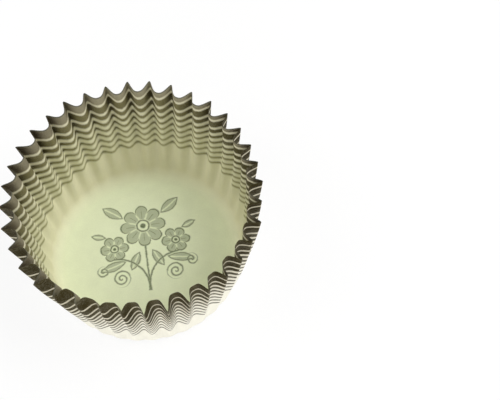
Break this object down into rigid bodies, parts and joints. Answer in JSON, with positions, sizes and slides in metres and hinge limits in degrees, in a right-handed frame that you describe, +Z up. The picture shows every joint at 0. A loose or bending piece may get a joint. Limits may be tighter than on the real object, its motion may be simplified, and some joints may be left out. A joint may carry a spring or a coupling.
{
  "type": "cupcake liner",
  "caption": "Paper baking cup pressed from one round disc, with a flat base and a flared, fluted wall whose outer creases end in points at the rim.",
  "frame": {"origin": "middle of the flat base, on the surface that the cup stands on", "axes": "+Z up along the cup's axis, out of its mouth; +X and +Y through the middle of a hollow between two creases"},
  "size_m": [0.0664, 0.0664, 0.0321],
  "materials": {
    "paper": "matte greaseproof paper, off-white, printed with dark olive-brown rings on the outside that show through paler on the inside"
  },
  "bodies": {
    "root": {"liner": "paper"}
  },
  "joints": []
}
